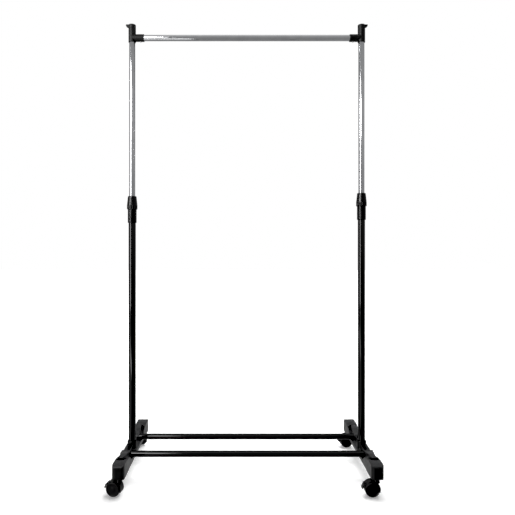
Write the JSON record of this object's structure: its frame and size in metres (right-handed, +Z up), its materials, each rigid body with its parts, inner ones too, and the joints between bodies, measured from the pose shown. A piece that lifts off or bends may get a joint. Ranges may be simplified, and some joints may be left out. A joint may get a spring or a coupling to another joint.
{
  "type": "rolling clothes rack",
  "caption": "Single-rail rolling clothes rack with telescopic posts, twist clamps, a chrome hang bar, base rails and swivel casters with brake levers.",
  "frame": {"origin": "point on the floor midway between the two posts", "axes": "+X along the hang bar towards the right post, +Y from front to back, +Z up"},
  "size_m": [0.8946, 0.4483, 1.589],
  "materials": {
    "foot_plastic": "charcoal moulded plastic with a fine texture",
    "black_paint": "gloss black powder coat on steel tube",
    "chrome_tube": "bright chrome plate on steel tube",
    "collar_plastic": "black moulded plastic, semi-gloss",
    "connector_plastic": "black moulded plastic, satin",
    "cap_plastic": "black moulded plastic cap",
    "hood_plastic": "dark grey nylon, lightly textured",
    "wheel_plastic": "dark grey nylon wheel",
    "lever_plastic": "black nylon",
    "zinc_steel": "zinc-plated steel",
    "natural_nylon": "natural white nylon, hidden in the tubes"
  },
  "bodies": {
    "base": {"left_foot": "foot_plastic", "right_foot": "foot_plastic", "left_lower_post": "black_paint", "right_lower_post": "black_paint", "front_base_bar": "black_paint", "rear_base_bar": "black_paint", "base_bar_plugs": "natural_nylon", "base_bar_bolts": "zinc_steel", "base_bar_bolt_caps": "cap_plastic", "left_collar_sleeve": "collar_plastic", "right_collar_sleeve": "collar_plastic", "left_collet": "natural_nylon", "right_collet": "natural_nylon", "caster_sockets": "zinc_steel", "stem_grip_rings": "zinc_steel"},
    "upper_frame": {"left_upper_post": "chrome_tube", "right_upper_post": "chrome_tube", "left_post_bush": "natural_nylon", "right_post_bush": "natural_nylon", "left_connector": "connector_plastic", "right_connector": "connector_plastic", "hang_bar": "chrome_tube", "connector_screws": "zinc_steel"},
    "left_clamp": {"left_clamp_nut": "collar_plastic"},
    "right_clamp": {"right_clamp_nut": "collar_plastic"},
    "front_left_caster": {"front_left_stem": "zinc_steel", "front_left_hood": "hood_plastic", "front_left_axle": "zinc_steel", "front_left_brake_pin": "zinc_steel"},
    "front_left_near": {"front_left_near_wheel": "wheel_plastic"},
    "front_left_far": {"front_left_far_wheel": "wheel_plastic"},
    "front_left_brake": {"front_left_brake_lever": "lever_plastic"},
    "front_right_caster": {"front_right_stem": "zinc_steel", "front_right_hood": "hood_plastic", "front_right_axle": "zinc_steel", "front_right_brake_pin": "zinc_steel"},
    "front_right_near": {"front_right_near_wheel": "wheel_plastic"},
    "front_right_far": {"front_right_far_wheel": "wheel_plastic"},
    "front_right_brake": {"front_right_brake_lever": "lever_plastic"},
    "rear_left_caster": {"rear_left_stem": "zinc_steel", "rear_left_hood": "hood_plastic", "rear_left_axle": "zinc_steel", "rear_left_brake_pin": "zinc_steel"},
    "rear_left_near": {"rear_left_near_wheel": "wheel_plastic"},
    "rear_left_far": {"rear_left_far_wheel": "wheel_plastic"},
    "rear_left_brake": {"rear_left_brake_lever": "lever_plastic"},
    "rear_right_caster": {"rear_right_stem": "zinc_steel", "rear_right_hood": "hood_plastic", "rear_right_axle": "zinc_steel", "rear_right_brake_pin": "zinc_steel"},
    "rear_right_near": {"rear_right_near_wheel": "wheel_plastic"},
    "rear_right_far": {"rear_right_far_wheel": "wheel_plastic"},
    "rear_right_brake": {"rear_right_brake_lever": "lever_plastic"}
  },
  "joints": [
    {"name": "height", "type": "slide", "parent": "base", "child": "upper_frame", "axis": [0, 0, 1], "range_m": [-0.53, 0.03]},
    {"name": "left_clamp_turn", "type": "hinge", "parent": "base", "child": "left_clamp", "pos_m": [-0.411, 0, 0.951], "axis": [0, 0, 1], "range_deg": [0, 180]},
    {"name": "right_clamp_turn", "type": "hinge", "parent": "base", "child": "right_clamp", "pos_m": [0.411, 0, 0.951], "axis": [0, 0, 1], "range_deg": [0, 180]},
    {"name": "front_left_swivel", "type": "hinge", "parent": "base", "child": "front_left_caster", "pos_m": [-0.411, -0.195, 0.055], "axis": [0, 0, 1], "continuous": true},
    {"name": "front_left_near_roll", "type": "hinge", "parent": "front_left_caster", "child": "front_left_near", "pos_m": [-0.42622, -0.19204, 0.0235], "axis": [-0.1908, -0.9816, 0], "continuous": true},
    {"name": "front_left_far_roll", "type": "hinge", "parent": "front_left_caster", "child": "front_left_far", "pos_m": [-0.42622, -0.19204, 0.0235], "axis": [-0.1908, -0.9816, 0], "continuous": true},
    {"name": "front_left_brake_turn", "type": "hinge", "parent": "front_left_caster", "child": "front_left_brake", "pos_m": [-0.4494, -0.18754, 0.03659], "axis": [0.1908, 0.9816, 0], "range_deg": [0, 45]},
    {"name": "front_right_swivel", "type": "hinge", "parent": "base", "child": "front_right_caster", "pos_m": [0.411, -0.195, 0.055], "axis": [0, 0, 1], "continuous": true},
    {"name": "front_right_near_roll", "type": "hinge", "parent": "front_right_caster", "child": "front_right_near", "pos_m": [0.3955, -0.19473, 0.0235], "axis": [-0.0175, -0.9998, 0], "continuous": true},
    {"name": "front_right_far_roll", "type": "hinge", "parent": "front_right_caster", "child": "front_right_far", "pos_m": [0.3955, -0.19473, 0.0235], "axis": [-0.0175, -0.9998, 0], "continuous": true},
    {"name": "front_right_brake_turn", "type": "hinge", "parent": "front_right_caster", "child": "front_right_brake", "pos_m": [0.37189, -0.19432, 0.03659], "axis": [0.0175, 0.9998, 0], "range_deg": [0, 45]},
    {"name": "rear_left_swivel", "type": "hinge", "parent": "base", "child": "rear_left_caster", "pos_m": [-0.411, 0.195, 0.055], "axis": [0, 0, 1], "continuous": true},
    {"name": "rear_left_near_roll", "type": "hinge", "parent": "rear_left_caster", "child": "rear_left_near", "pos_m": [-0.42287, 0.20496, 0.0235], "axis": [-0.6428, -0.766, 0], "continuous": true},
    {"name": "rear_left_far_roll", "type": "hinge", "parent": "rear_left_caster", "child": "rear_left_far", "pos_m": [-0.42287, 0.20496, 0.0235], "axis": [-0.6428, -0.766, 0], "continuous": true},
    {"name": "rear_left_brake_turn", "type": "hinge", "parent": "rear_left_caster", "child": "rear_left_brake", "pos_m": [-0.44096, 0.22014, 0.03659], "axis": [0.6428, 0.766, 0], "range_deg": [0, 45]},
    {"name": "rear_right_swivel", "type": "hinge", "parent": "base", "child": "rear_right_caster", "pos_m": [0.411, 0.195, 0.055], "axis": [0, 0, 1], "continuous": true},
    {"name": "rear_right_near_roll", "type": "hinge", "parent": "rear_right_caster", "child": "rear_right_near", "pos_m": [0.39565, 0.19284, 0.0235], "axis": [0.1392, -0.9903, 0], "continuous": true},
    {"name": "rear_right_far_roll", "type": "hinge", "parent": "rear_right_caster", "child": "rear_right_far", "pos_m": [0.39565, 0.19284, 0.0235], "axis": [0.1392, -0.9903, 0], "continuous": true},
    {"name": "rear_right_brake_turn", "type": "hinge", "parent": "rear_right_caster", "child": "rear_right_brake", "pos_m": [0.37227, 0.18956, 0.03659], "axis": [-0.1392, 0.9903, 0], "range_deg": [0, 45]}
  ]
}
